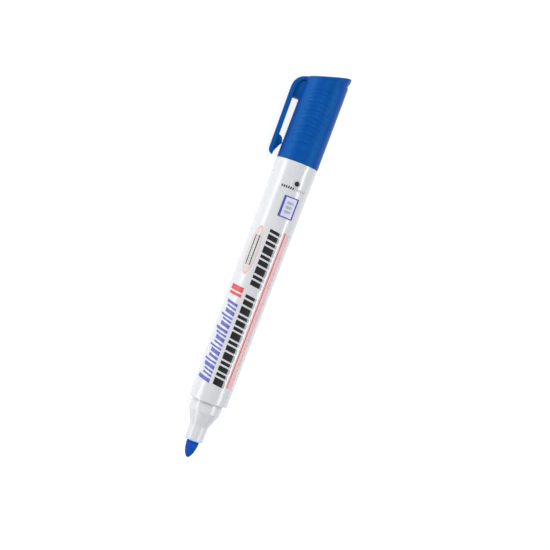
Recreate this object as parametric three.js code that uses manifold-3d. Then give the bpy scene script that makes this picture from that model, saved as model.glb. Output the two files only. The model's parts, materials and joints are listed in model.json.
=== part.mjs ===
// A bullet-nib felt tip marker lying on a table, its cap pushed onto the tail.
//
// Every turned piece is described by stations in millimetres along the marker's axis.
// Station 0 is the front shoulder of the barrel. Stations grow towards the tail and
// are negative on the nose. In the marker's own frame x = -station, the clip is on the
// -y side and z is the clip's width. The whole marker is then rolled until the edge of
// the clip touches the table, and moved so that the origin is under its middle.

import * as THREE from 'three';
import { mergeVertices } from 'three/addons/utils/BufferGeometryUtils.js';
import Module from 'manifold-3d';

const manifold = await Module();
manifold.setup();

// ---------------------------------------------------------------- driving dimensions (mm)

const GAP = 0.3;                     // between pieces that touch or press together
const ROUND_SEGMENTS = 48;           // facets round a turned piece
const CURVE_SEGMENTS = 8;            // facets along a rounded corner of an outline

const BARREL_FRONT_RADIUS = 7.52;
const BARREL_REAR_RADIUS = 8.15;
const BARREL_LENGTH = 96.4;
const BARREL_WALL = 1.18;
const BARREL_EDGE = 0.4;             // bevel round each end of the barrel

const NIB_RADIUS = 2.41;
const NIB_TIP = -22.9;               // station of the writing point
const NIB_REAR = 17.1;               // the rod ends inside the reservoir
const BULLET_LENGTH = 6.1;
const BULLET_STEPS = 8;
const BULLET_POWER = 1.75;           // 2 is an ellipse, 1 is a cone

const NOZZLE_END = -15.9;
const NOZZLE_TIP_RADIUS = 3.53;
const NOZZLE_ROOT = -10.6;           // where the cone grows out of the nozzle
const NOZZLE_ROOT_RADIUS = 3.62;
const CONE_END = -4.0;               // where the cone meets the collar
const COLLAR_RADIUS = 6.04;
const HOLDER_REAR = 9.0;
const HOLDER_CAVITY_FRONT = -3.0;    // the nib's bore opens into a wide cavity here
const HOLDER_CAVITY_RADIUS = 4.6;

const RESERVOIR_FRONT = 9.6;
const RESERVOIR_REAR = 83.5;
const SLEEVE_RADIUS = 5.75;
const SLEEVE_WALL = 0.25;

const PLUG_FRONT = 84;
const PLUG_SPIGOT_RADIUS = 6.54;     // inside the barrel
const PLUG_STUB_RADIUS = 6.04;       // the cap pushes onto this
const PLUG_STUB_END = 107;
const PLUG_WALL = 1.15;

const CAP_MOUTH = 96.7;
const CAP_MOUTH_RADIUS = 8.23;
const CAP_TOP_RADIUS = 8.15;
const CAP_BORE_RADIUS = 7.1;
const CAP_END_HIGH = 133.4;          // the slanted end's highest point, opposite the clip
const CAP_END_SLANT = THREE.MathUtils.degToRad(16);
const CAP_END_WALL = 1.6;
const CAP_LIP_RADIUS = 8.2;
const CAP_LIP_SHIFT = 0.1;           // the lip's centre stands off the axis, away from the clip
const CAP_LIP_THICKNESS = 1.5;

const GRIP_COUNT = 6;                // ribs inside the mouth that hold the tail or the nose
const GRIP_LENGTH = 7.5;
const GRIP_WIDTH = 0.9;

const SEAL_MOUTH = 108.2;
const SEAL_REAR = 121.6;
const SEAL_BORE_RADIUS = NOZZLE_ROOT_RADIUS + GAP;
const SEAL_WALL = 1.0;
const SEAL_FLANGE_LENGTH = 3.4;

const CLIP_WIDTH = 6.0;
const CLIP_THICKNESS = 1.8;
const WEB_WIDTH = 3.6;               // the web under the clip's root, and the pad
const CLIP_OUTER_TOP = 12.52;        // distance from the axis to the outer face, at the root
const CLIP_OUTER_END = 12.14;        // the same near the free end
const CLIP_END = 96.7;               // station of the free end
const CLIP_END_RADIUS = 1.9;         // rounded outer corner of the free end
const SLOT_TOP = 119.7;              // station where the arm joins its root on the cap
const SHOULDER_START = 123.1;        // where the outer face starts to curve over the top
const SHOULDER_INSET = 3.2;          // how far in from the outer face the curve ends
const PAD_PEAK = 102.0;              // station where the pad comes nearest to the cap
const PAD_LOW = 98.2;
const PAD_HIGH = 104.5;

// ---------------------------------------------------------------- shape helpers

/** Solid of revolution about the marker's axis, from [station, radius] pairs. */
function turned(profile, closed = false) {
  const points = profile.map(([station, radius]) => new THREE.Vector2(radius, station));
  if (closed) {
    points.push(points[0].clone());
  }
  return new THREE.LatheGeometry(points, ROUND_SEGMENTS).rotateZ(Math.PI / 2);
}

/** Prism of a side outline, centred on z = 0. The outline works in [station, offset]. */
function prism(outline, width) {
  const geometry = new THREE.ExtrudeGeometry(outline, {
    depth: width,
    bevelEnabled: false,
    curveSegments: CURVE_SEGMENTS,
  });
  return geometry.translate(0, 0, -width / 2);
}

/** Straight-sided outline through [station, offset] pairs; offset grows towards the clip. */
function outlineThrough(pairs) {
  return new THREE.Shape(pairs.map(([station, offset]) => new THREE.Vector2(-station, -offset)));
}

/** Pen for an outline with rounded corners, in [station, offset] coordinates. */
class SideOutline {
  constructor(station, offset) {
    this.shape = new THREE.Shape();
    this.shape.moveTo(-station, -offset);
  }

  line(station, offset) {
    this.shape.lineTo(-station, -offset);
    return this;
  }

  round([cornerStation, cornerOffset], [station, offset]) {
    this.shape.quadraticCurveTo(-cornerStation, -cornerOffset, -station, -offset);
    return this;
  }
}

/** Manifold solid of a closed three.js geometry. */
function toSolid(geometry) {
  const bare = geometry.clone();
  bare.deleteAttribute('normal');
  bare.deleteAttribute('uv');
  const merged = mergeVertices(bare, 1e-4);
  const triangles = [];
  for (let i = 0; i < merged.index.count; i += 3) {
    const corners = [0, 1, 2].map((k) => merged.index.getX(i + k));
    if (new Set(corners).size === 3) {
      triangles.push(...corners);
    }
  }
  return new manifold.Manifold(new manifold.Mesh({
    numProp: 3,
    vertProperties: merged.attributes.position.array,
    triVerts: new Uint32Array(triangles),
  }));
}

/** three.js geometry of a manifold solid. */
function toGeometry(solid) {
  const mesh = solid.getMesh();
  const geometry = new THREE.BufferGeometry();
  geometry.setAttribute('position', new THREE.BufferAttribute(mesh.vertProperties, 3));
  geometry.setIndex(new THREE.BufferAttribute(mesh.triVerts, 1));
  geometry.computeVertexNormals();
  return geometry;
}

/** Outer radius of the barrel at a station. */
function barrelRadius(station) {
  return THREE.MathUtils.lerp(BARREL_FRONT_RADIUS, BARREL_REAR_RADIUS, station / BARREL_LENGTH);
}

/** Station of the cap's slanted end at an offset towards the clip. */
function capEnd(offset) {
  const highSide = CAP_LIP_RADIUS + CAP_LIP_SHIFT;
  return CAP_END_HIGH - (offset + highSide) * Math.tan(CAP_END_SLANT);
}

/** Distance from the axis to the clip's outer face at a station. */
function clipOuter(station) {
  const along = (station - CLIP_END) / (SHOULDER_START - CLIP_END);
  return THREE.MathUtils.lerp(CLIP_OUTER_END, CLIP_OUTER_TOP, along);
}

/** Everything from the cap's mouth to a plane lying `depth` under its slanted end. */
function belowCapEnd(depth) {
  const reach = CLIP_OUTER_TOP + 2;
  return toSolid(prism(outlineThrough([
    [CAP_MOUTH - 1, -reach],
    [CAP_MOUTH - 1, reach],
    [capEnd(reach) - depth, reach],
    [capEnd(-reach) - depth, -reach],
  ]), 2 * reach));
}

// ---------------------------------------------------------------- materials

const blueCap = { color: '#0c50a5', roughness: 0.32, metalness: 0 };
const whitePlastic = { color: '#eef0f2', roughness: 0.25, metalness: 0 };
const fibreNib = { color: '#0a4bb4', roughness: 0.85, metalness: 0 };
const fibreCore = { color: '#274f9c', roughness: 0.95, metalness: 0 };
const film = { color: '#e6e9ef', roughness: 0.3, metalness: 0 };
const sealPlastic = { color: '#f4f4f1', roughness: 0.45, metalness: 0 };

// ---------------------------------------------------------------- sub-parts

/** Tapered tube, open at both ends. */
function barrel() {
  const front = barrelRadius(0);
  const rear = barrelRadius(BARREL_LENGTH);
  return turned([
    [0, front - BARREL_WALL],
    [0, front - BARREL_EDGE],
    [BARREL_EDGE, front],
    [BARREL_LENGTH - BARREL_EDGE, rear],
    [BARREL_LENGTH, rear - BARREL_EDGE],
    [BARREL_LENGTH, rear - BARREL_WALL],
  ], true);
}

/** Nozzle, cone and collar, with a spigot pressed into the barrel's mouth. */
function nibHolder() {
  const bore = NIB_RADIUS + GAP;
  return turned([
    [NOZZLE_END, bore],
    [NOZZLE_END, NOZZLE_TIP_RADIUS - 0.2],
    [NOZZLE_END + 0.2, NOZZLE_TIP_RADIUS],
    [NOZZLE_ROOT, NOZZLE_ROOT_RADIUS],
    [NOZZLE_ROOT + 1.2, NOZZLE_ROOT_RADIUS + 0.3],
    [CONE_END - 0.4, COLLAR_RADIUS - 0.2],
    [CONE_END, COLLAR_RADIUS],
    [HOLDER_REAR - 0.5, COLLAR_RADIUS],
    [HOLDER_REAR, COLLAR_RADIUS - 0.3],
    [HOLDER_REAR, HOLDER_CAVITY_RADIUS],
    [HOLDER_CAVITY_FRONT, HOLDER_CAVITY_RADIUS],
    [HOLDER_CAVITY_FRONT - 1.5, bore],
  ], true);
}

/** Fibre rod with a bullet point. */
function nib() {
  const profile = [];
  for (let step = 0; step <= BULLET_STEPS; step += 1) {
    const along = (step / BULLET_STEPS) ** 1.5;
    const radius = NIB_RADIUS * (1 - (1 - along) ** BULLET_POWER) ** (1 / BULLET_POWER);
    profile.push([NIB_TIP + along * BULLET_LENGTH, radius]);
  }
  profile.push([NIB_REAR - 0.5, NIB_RADIUS]);
  profile.push([NIB_REAR, NIB_RADIUS - 0.5]);
  profile.push([NIB_REAR, 0]);
  return turned(profile);
}

/** Fibre rod that holds the ink, with a socket for the nib. */
function reservoirCore() {
  const radius = SLEEVE_RADIUS - SLEEVE_WALL - GAP;
  const socketRadius = NIB_RADIUS + GAP;
  const socketEnd = NIB_REAR + GAP;
  return turned([
    [socketEnd, 0],
    [socketEnd, socketRadius],
    [RESERVOIR_FRONT, socketRadius],
    [RESERVOIR_FRONT, radius],
    [RESERVOIR_REAR, radius],
    [RESERVOIR_REAR, 0],
  ]);
}

/** Film wrapped round the ink core, open at both ends. */
function reservoirSleeve() {
  return turned([
    [RESERVOIR_FRONT, SLEEVE_RADIUS - SLEEVE_WALL],
    [RESERVOIR_FRONT, SLEEVE_RADIUS],
    [RESERVOIR_REAR, SLEEVE_RADIUS],
    [RESERVOIR_REAR, SLEEVE_RADIUS - SLEEVE_WALL],
  ], true);
}

/** Cup that closes the barrel; its narrow end is the stub that the cap pushes onto. */
function tailPlug() {
  return turned([
    [PLUG_FRONT, PLUG_SPIGOT_RADIUS - PLUG_WALL],
    [PLUG_FRONT, PLUG_SPIGOT_RADIUS - 0.4],
    [PLUG_FRONT + 0.6, PLUG_SPIGOT_RADIUS],
    [BARREL_LENGTH, PLUG_SPIGOT_RADIUS],
    [BARREL_LENGTH, PLUG_STUB_RADIUS],
    [PLUG_STUB_END - 0.6, PLUG_STUB_RADIUS],
    [PLUG_STUB_END, PLUG_STUB_RADIUS - 0.6],
    [PLUG_STUB_END, 0],
    [PLUG_STUB_END - PLUG_WALL, 0],
    [PLUG_STUB_END - PLUG_WALL, PLUG_STUB_RADIUS - PLUG_WALL],
    [BARREL_LENGTH - PLUG_WALL, PLUG_STUB_RADIUS - PLUG_WALL],
    [BARREL_LENGTH - PLUG_WALL - 1, PLUG_SPIGOT_RADIUS - PLUG_WALL],
  ], true);
}

/** Outside of the cap as a plain round solid, before the end is cut. */
function capRound() {
  return toSolid(turned([
    [CAP_MOUTH, 0],
    [CAP_MOUTH, CAP_MOUTH_RADIUS - 0.15],
    [CAP_MOUTH + 0.15, CAP_MOUTH_RADIUS],
    [CAP_END_HIGH + 1, CAP_TOP_RADIUS],
    [CAP_END_HIGH + 1, 0],
  ]));
}

/** Root of the clip: a band that curves over the shoulder, and a narrower web under it. */
function clipRoot() {
  const outer = clipOuter(SHOULDER_START);
  const inner = outer - CLIP_THICKNESS;
  const shoulderEnd = outer - SHOULDER_INSET;
  const anchor = CAP_BORE_RADIUS + GAP;
  const corner = capEnd(outer) - 0.6;
  const web = new SideOutline(SLOT_TOP, anchor)
    .line(SLOT_TOP, clipOuter(SLOT_TOP))
    .line(SHOULDER_START, outer)
    .round([corner, outer], [capEnd(shoulderEnd), shoulderEnd])
    .line(capEnd(anchor), anchor)
    .shape;
  const band = new SideOutline(SLOT_TOP, inner)
    .line(SLOT_TOP, clipOuter(SLOT_TOP))
    .line(SHOULDER_START, outer)
    .round([corner, outer], [capEnd(shoulderEnd), shoulderEnd])
    .line(capEnd(anchor), anchor)
    .line(capEnd(anchor) - CAP_LIP_THICKNESS, anchor)
    .line(capEnd(shoulderEnd) - CLIP_THICKNESS, shoulderEnd - 0.5)
    .round([corner - CLIP_THICKNESS, inner], [SHOULDER_START, inner])
    .shape;
  return toSolid(prism(web, WEB_WIDTH)).add(toSolid(prism(band, CLIP_WIDTH)));
}

/** Round solid of one radius, from the mouth of the cap to beyond its end. */
function capCylinder(radius, shift = 0) {
  const cylinder = turned([
    [CAP_MOUTH - 1, 0],
    [CAP_MOUTH - 1, radius],
    [CAP_END_HIGH + 1, radius],
    [CAP_END_HIGH + 1, 0],
  ]);
  return toSolid(cylinder.translate(0, shift, 0));
}

/** Ribs inside the cap's mouth, as one solid. */
function gripRibs() {
  const height = CAP_BORE_RADIUS + 0.3 - (PLUG_STUB_RADIUS + GAP);
  const middle = PLUG_STUB_RADIUS + GAP + height / 2;
  const rib = new THREE.BoxGeometry(GRIP_LENGTH, height, GRIP_WIDTH);
  rib.translate(-(CAP_MOUTH + 1 + GRIP_LENGTH / 2), middle, 0);
  const ribs = [];
  for (let k = 0; k < GRIP_COUNT; k += 1) {
    ribs.push(toSolid(rib.clone().rotateX(2 * Math.PI * (k + 0.5) / GRIP_COUNT)));
  }
  return manifold.Manifold.union(ribs);
}

/** Cap: a hollow round body, a slanted end with a lip, grips inside, and the clip's root. */
function capShell() {
  const body = capRound().intersect(belowCapEnd(0));
  const lip = capCylinder(CAP_LIP_RADIUS, CAP_LIP_SHIFT).intersect(belowCapEnd(0));
  const underLip = belowCapEnd(CAP_LIP_THICKNESS);
  const bore = capCylinder(CAP_BORE_RADIUS).intersect(belowCapEnd(CAP_END_WALL));
  return toGeometry(body
    .add(lip.subtract(underLip))
    .add(clipRoot())
    .subtract(bore)
    .add(gripRibs()));
}

/** Springy arm of the clip, with the narrower pad that grips against the cap. */
function capClip() {
  const top = SLOT_TOP - GAP;
  const inner = (station) => clipOuter(station) - CLIP_THICKNESS;
  const peak = CAP_MOUTH_RADIUS + GAP;
  const buried = inner(PAD_PEAK) + CLIP_THICKNESS / 2;
  const arm = new SideOutline(top, inner(top))
    .line(top, clipOuter(top))
    .line(CLIP_END + CLIP_END_RADIUS, clipOuter(CLIP_END + CLIP_END_RADIUS))
    .round([CLIP_END, clipOuter(CLIP_END)], [CLIP_END, clipOuter(CLIP_END) - CLIP_END_RADIUS])
    .line(CLIP_END + 0.1, inner(CLIP_END))
    .shape;
  const pad = new SideOutline(PAD_LOW, buried)
    .line(PAD_LOW, inner(PAD_LOW))
    .line(PAD_PEAK - 0.4, peak + 0.1)
    .line(PAD_PEAK, peak)
    .round([PAD_HIGH - 0.3, peak + 0.1], [PAD_HIGH, inner(PAD_HIGH)])
    .line(PAD_HIGH, buried)
    .shape;
  return toGeometry(toSolid(prism(arm, CLIP_WIDTH)).add(toSolid(prism(pad, WEB_WIDTH))));
}

/** Cup inside the cap that closes round the nozzle when the cap is on the nose. */
function capInnerSeal() {
  const outer = SEAL_BORE_RADIUS + SEAL_WALL;
  const flangeFront = SEAL_REAR - SEAL_FLANGE_LENGTH;
  return turned([
    [SEAL_REAR - SEAL_WALL, 0],
    [SEAL_REAR - SEAL_WALL, SEAL_BORE_RADIUS],
    [SEAL_MOUTH + 0.5, SEAL_BORE_RADIUS],
    [SEAL_MOUTH, SEAL_BORE_RADIUS + 0.4],
    [SEAL_MOUTH, outer],
    [flangeFront, outer],
    [flangeFront, CAP_BORE_RADIUS - GAP],
    [SEAL_REAR, CAP_BORE_RADIUS - GAP],
    [SEAL_REAR, 0],
  ]);
}

// ---------------------------------------------------------------- assembly

const subParts = [
  ['barrel', barrel(), whitePlastic],
  ['nib_holder', nibHolder(), whitePlastic],
  ['nib', nib(), fibreNib],
  ['reservoir_core', reservoirCore(), fibreCore],
  ['reservoir_sleeve', reservoirSleeve(), film],
  ['tail_plug', tailPlug(), whitePlastic],
  ['cap_shell', capShell(), blueCap],
  ['cap_clip', capClip(), blueCap],
  ['cap_inner_seal', capInnerSeal(), sealPlastic],
];

const rolled = new THREE.Group();
for (const [name, geometry, look] of subParts) {
  const mesh = new THREE.Mesh(geometry, new THREE.MeshStandardMaterial(look));
  mesh.name = name;
  rolled.add(mesh);
}

// The marker lies on the round of its cap and on the lower edge of its clip.
const edgeOut = CLIP_OUTER_TOP;
const edgeDown = CLIP_WIDTH / 2;
const restRoll = Math.asin(CAP_MOUTH_RADIUS / Math.hypot(edgeOut, edgeDown))
  - Math.atan2(edgeDown, edgeOut);
rolled.rotation.x = restRoll;

const marker = new THREE.Group();
marker.add(rolled);
const box = new THREE.Box3().setFromObject(marker, true);
const middle = box.getCenter(new THREE.Vector3());
rolled.position.set(-middle.x, -middle.y, -box.min.z);

export default marker;
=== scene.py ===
"""Looks of a bullet-nib felt tip marker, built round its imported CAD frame.

The frame is in metres. Shapes are worked out in millimetres in the marker's own frame:
station runs along the axis from the barrel's front shoulder towards the tail, offset is
the distance from the axis towards the clip, and width runs across the clip.
"""

import json
import math

import bmesh
import bpy
import numpy as np
from mathutils import Matrix, Vector


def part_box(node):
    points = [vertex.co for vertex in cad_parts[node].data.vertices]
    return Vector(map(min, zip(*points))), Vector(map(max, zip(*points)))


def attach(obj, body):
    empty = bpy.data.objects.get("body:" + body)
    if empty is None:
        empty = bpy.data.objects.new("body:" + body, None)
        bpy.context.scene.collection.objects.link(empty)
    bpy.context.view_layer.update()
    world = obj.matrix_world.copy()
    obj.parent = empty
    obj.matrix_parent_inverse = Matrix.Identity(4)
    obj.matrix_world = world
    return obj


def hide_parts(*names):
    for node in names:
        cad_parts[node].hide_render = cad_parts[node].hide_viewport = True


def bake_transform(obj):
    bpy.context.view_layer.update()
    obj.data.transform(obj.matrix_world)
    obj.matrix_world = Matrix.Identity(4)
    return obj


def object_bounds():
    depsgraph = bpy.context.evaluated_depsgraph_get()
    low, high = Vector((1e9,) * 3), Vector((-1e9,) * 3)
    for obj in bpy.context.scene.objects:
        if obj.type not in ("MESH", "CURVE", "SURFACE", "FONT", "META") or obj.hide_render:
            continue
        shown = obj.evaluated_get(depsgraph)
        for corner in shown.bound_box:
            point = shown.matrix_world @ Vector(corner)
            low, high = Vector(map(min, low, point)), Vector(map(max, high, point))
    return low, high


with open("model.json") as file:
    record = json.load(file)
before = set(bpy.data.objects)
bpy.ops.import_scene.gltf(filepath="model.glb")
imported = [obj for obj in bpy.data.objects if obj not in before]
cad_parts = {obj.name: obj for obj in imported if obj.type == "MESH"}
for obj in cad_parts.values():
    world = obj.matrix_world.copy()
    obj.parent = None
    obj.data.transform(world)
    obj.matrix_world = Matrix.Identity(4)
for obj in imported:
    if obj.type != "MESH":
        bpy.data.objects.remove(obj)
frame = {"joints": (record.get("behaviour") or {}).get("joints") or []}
cad_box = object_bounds()

# ---------------------------------------------------------------- the marker's own frame

MM = 0.001

barrel_low, barrel_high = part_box("barrel")
SHOULDER = Vector((
    barrel_high.x,
    (barrel_low.y + barrel_high.y) / 2,
    (barrel_low.z + barrel_high.z) / 2,
))
clip_hinge = next(joint for joint in frame["joints"] if joint["name"] == "clip_flex")
TAILWARD = Vector((-1, 0, 0))
WIDTHWARD = -Vector(clip_hinge["axis"]).normalized()
CLIPWARD = WIDTHWARD.cross(TAILWARD)
BASIS = np.array([TAILWARD, CLIPWARD, WIDTHWARD])


def to_row(points):
    """Row-frame points (m) of an array of (station, offset, width) points (mm)."""
    return np.array(SHOULDER) + np.asarray(points, float) @ BASIS * MM


def place(station, offset, width=0.0):
    """Row-frame point (m) of one station, offset and width (mm)."""
    return Vector(to_row([(station, offset, width)])[0])


def stations(node):
    """Front and rear station (mm) of a CAD node."""
    low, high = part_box(node)
    return (SHOULDER.x - high.x) / MM, (SHOULDER.x - low.x) / MM


def radius_of(node):
    """Largest radius (mm) of a turned CAD node."""
    low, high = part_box(node)
    return (high.y - low.y) / 2 / MM


# ---------------------------------------------------------------- sizes (mm)

BARREL_END = stations("barrel")[1]
BARREL_REAR_RADIUS = radius_of("barrel") + 0.05
BARREL_FRONT_RADIUS = 7.6
BARREL_WALL = 1.18

NIB_TIP, NIB_REAR = stations("nib")
NIB_RADIUS = radius_of("nib")
BULLET_LENGTH = 6.1
BULLET_POWER = 1.75

NOZZLE_END, HOLDER_REAR = stations("nib_holder")
COLLAR_RADIUS = radius_of("nib_holder") + 0.04
NOZZLE_RADIUS = 3.57

CORE_FRONT, CORE_REAR = stations("reservoir_core")
CORE_RADIUS = radius_of("reservoir_core")
SLEEVE_RADIUS = radius_of("reservoir_sleeve")

PLUG_FRONT, PLUG_REAR = stations("tail_plug")
PLUG_RADIUS = radius_of("tail_plug")
STUB_RADIUS = radius_of("nib_holder")
PLUG_WALL = 1.15

CAP_MOUTH, CAP_HIGH = stations("cap_shell")
CAP_MOUTH_RADIUS = 8.23
CAP_TOP_RADIUS = 8.2
CAP_BORE = 7.1
LIP_RADIUS = 8.2
LIP_SHIFT = 0.08                       # the lip's centre stands off the axis, away from the clip
LIP_THICKNESS = 1.5
END_RISE = 0.2                         # the slanted end's high side passes the CAD cap's by this
END_FALL = 0.227                       # slope of the slanted end at its high side
END_CURVE = 0.0042                     # and how fast it steepens towards the clip
END_DOME = 0.9                         # fall of the slanted end towards the cap's broad sides

SEAL_FRONT, SEAL_REAR = stations("cap_inner_seal")
SEAL_FLANGE_RADIUS = radius_of("cap_inner_seal")
SEAL_BORE = 3.92
SEAL_WALL = 1.0

CLIP_END = stations("cap_clip")[0]
SLOT_TOP = stations("cap_clip")[1] + 0.3
CLIP_HALF_WIDTH = 3.0
WEB_HALF_WIDTH = 2.2
CLIP_THICKNESS = 1.8
CLIP_OUTER_END = 12.14
CLIP_OUTER_TOP = 12.52
CLIP_END_RADIUS = 1.85
CLIP_CORNER = 0.9                      # radius of the free end's corners, seen from outside
SHOULDER_START = 122.8                 # the clip's straight back meets the shoulder's curve here
SHOULDER_INSET = 3.2
SHOULDER_DROP = 0.4                    # the shoulder's curve aims this far below the slanted end

RIDGE_FIRST = 104.5
RIDGE_PITCH = 3.23
RIDGE_COUNT = 7
RIDGE_HEIGHT = 0.13
FINE_RIDGE_HEIGHT = 0.04
RIDGE_SINK = 0.12                      # the ridged wall is set back, so its ridges stay level


def barrel_radius(station):
    """Outer radius of the barrel (mm) at a station."""
    along = station / BARREL_END
    return BARREL_FRONT_RADIUS + (BARREL_REAR_RADIUS - BARREL_FRONT_RADIUS) * along


def cap_radius(station):
    """Outer radius of the cap (mm) at a station."""
    along = (station - CAP_MOUTH) / (CAP_HIGH - CAP_MOUTH)
    return CAP_MOUTH_RADIUS + (CAP_TOP_RADIUS - CAP_MOUTH_RADIUS) * along


def cap_end(offset, width=0.0):
    """Station of the cap's slanted end, which is slightly domed both ways."""
    down = offset + LIP_RADIUS + LIP_SHIFT
    along = END_RISE - END_FALL * down - END_CURVE * down ** 2
    return CAP_HIGH + along - END_DOME * (width / LIP_RADIUS) ** 2


def clip_outer(station):
    """Distance of the clip's outer face from the axis (mm) at a station."""
    along = (station - CLIP_END) / (SHOULDER_START - CLIP_END)
    return CLIP_OUTER_END + (CLIP_OUTER_TOP - CLIP_OUTER_END) * along


def smooth(low, high, value):
    """0 below low, 1 above high, and a smooth step between them."""
    t = np.clip((value - low) / (high - low), 0, 1)
    return t * t * (3 - 2 * t)


# ---------------------------------------------------------------- mesh helpers

WELD = 0.0005                          # points closer than this are one point


def rounded(corners, closed=False, steps=5, support=0.12):
    """Profile through (station, radius, fillet) corners, each corner rounded by its fillet.

    A support point stands beside each fillet, so that smooth shading stays on the fillet.
    """
    count = len(corners)
    profile = []
    for k, (station, radius, fillet) in enumerate(corners):
        here = Vector((station, radius))
        if fillet == 0 or (not closed and k in (0, count - 1)):
            profile.append(tuple(here))
            continue
        before = Vector(corners[k - 1][:2]) - here
        after = Vector(corners[(k + 1) % count][:2]) - here
        start = here + before.normalized() * fillet
        end = here + after.normalized() * fillet
        if before.length > 3 * (fillet + support):
            profile.append(tuple(start + before.normalized() * support))
        for step in range(steps + 1):
            t = step / steps
            profile.append(tuple(start * (1 - t) ** 2 + here * 2 * t * (1 - t) + end * t * t))
        if after.length > 3 * (fillet + support):
            profile.append(tuple(end + after.normalized() * support))
    return profile


def turned(profile, segments=128, closed=False, shape=None):
    """Points and faces of a solid of revolution about the marker's axis.

    shape(station, radius, angle), if given, returns the (station, radius) of each point; the
    angle is 0 on the clip's side and a quarter turn towards +width.
    """
    angles = np.linspace(0, 2 * np.pi, segments, endpoint=False)
    points, rings = [], []
    for station, radius in profile:
        if radius < 1e-6:
            rings.append([len(points)] * segments)
            points.append((station, 0.0, 0.0))
            continue
        rings.append(list(range(len(points), len(points) + segments)))
        for angle in angles:
            s, r = shape(station, radius, angle) if shape else (station, radius)
            points.append((s, r * math.cos(angle), r * math.sin(angle)))
    faces = []
    pairs = list(zip(rings, rings[1:] + rings[:1])) if closed else list(zip(rings, rings[1:]))
    for lower, upper in pairs:
        for k in range(segments):
            corners = list(dict.fromkeys([lower[k], lower[k - 1], upper[k - 1], upper[k]]))
            if len(corners) > 2:
                faces.append(corners)
    return points, faces


def joined(*shells):
    """Points and faces of several closed shells in one mesh."""
    points, faces = [], []
    for shell_points, shell_faces in shells:
        start = len(points)
        points.extend(shell_points)
        faces.extend([[start + corner for corner in face] for face in shell_faces])
    return points, faces


def new_piece(name, shell, material, sharp_above=40):
    """Blender object of a shell given in the marker's frame.

    Points that coincide are welded, and the faces are turned to point out. Edges sharper than
    sharp_above degrees are shaded as edges.
    """
    points, faces = shell
    mesh = bpy.data.meshes.new(name)
    mesh.from_pydata([tuple(p) for p in to_row(points)], [], faces)
    clean = bmesh.new()
    clean.from_mesh(mesh)
    bmesh.ops.remove_doubles(clean, verts=clean.verts[:], dist=WELD * MM)
    bmesh.ops.recalc_face_normals(clean, faces=clean.faces[:])
    clean.to_mesh(mesh)
    clean.free()
    mesh.polygons.foreach_set("use_smooth", [True] * len(mesh.polygons))
    mesh.set_sharp_from_angle(angle=math.radians(sharp_above))
    mesh.materials.append(material)
    piece = bpy.data.objects.new(name, mesh)
    bpy.context.scene.collection.objects.link(piece)
    return piece


def put(piece, body, slot, *nodes):
    """The piece rides on a body and stands for CAD nodes, which are hidden; slot is not used."""
    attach(piece, body)
    if nodes:
        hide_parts(*nodes)


def shell_of(work):
    """Points and faces of a bmesh, which is freed."""
    points = [tuple(vertex.co) for vertex in work.verts]
    faces = [[vertex.index for vertex in face.verts] for face in work.faces]
    work.free()
    return points, faces


def flat_slab(outline, low, high):
    """bmesh of a flat outline of (x, y) points, from z = low to z = high."""
    work = bmesh.new()
    bottom = [work.verts.new((x, y, low)) for x, y in outline]
    top = [work.verts.new((x, y, high)) for x, y in outline]
    work.faces.new(bottom[::-1])
    work.faces.new(top)
    for k in range(len(outline)):
        work.faces.new((bottom[k - 1], bottom[k], top[k], top[k - 1]))
    bmesh.ops.recalc_face_normals(work, faces=work.faces)
    return work


def cut_across(work, positions, normal):
    """Cuts a bmesh by parallel planes, so that it can be bent afterwards."""
    for position in positions:
        everything = work.verts[:] + work.edges[:] + work.faces[:]
        bmesh.ops.bisect_plane(
            work, geom=everything, plane_co=Vector(normal) * position, plane_no=normal, dist=1e-5
        )


def soften_rims(work, radius, side=0, steps=3):
    """Rounds the edges between the flat sides of a slab and its rim.

    side is 1 for the upper flat side only, -1 for the lower one only and 0 for both.
    """
    def is_rim(edge):
        flats = [face.normal.z for face in edge.link_faces if abs(face.normal.z) > 0.9]
        return len(flats) == 1 and (side == 0 or flats[0] * side > 0)
    work.normal_update()
    rims = [edge for edge in work.edges if is_rim(edge)]
    bmesh.ops.bevel(
        work, geom=rims, offset=radius, segments=steps, profile=0.5, affect="EDGES",
        clamp_overlap=True,
    )


# ---------------------------------------------------------------- materials

def linear(red, green, blue):
    """Linear colour of an sRGB colour given from 0 to 255."""
    def channel(value):
        value /= 255
        return value / 12.92 if value <= 0.04045 else ((value + 0.055) / 1.055) ** 2.4
    return (channel(red), channel(green), channel(blue), 1.0)


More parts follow.
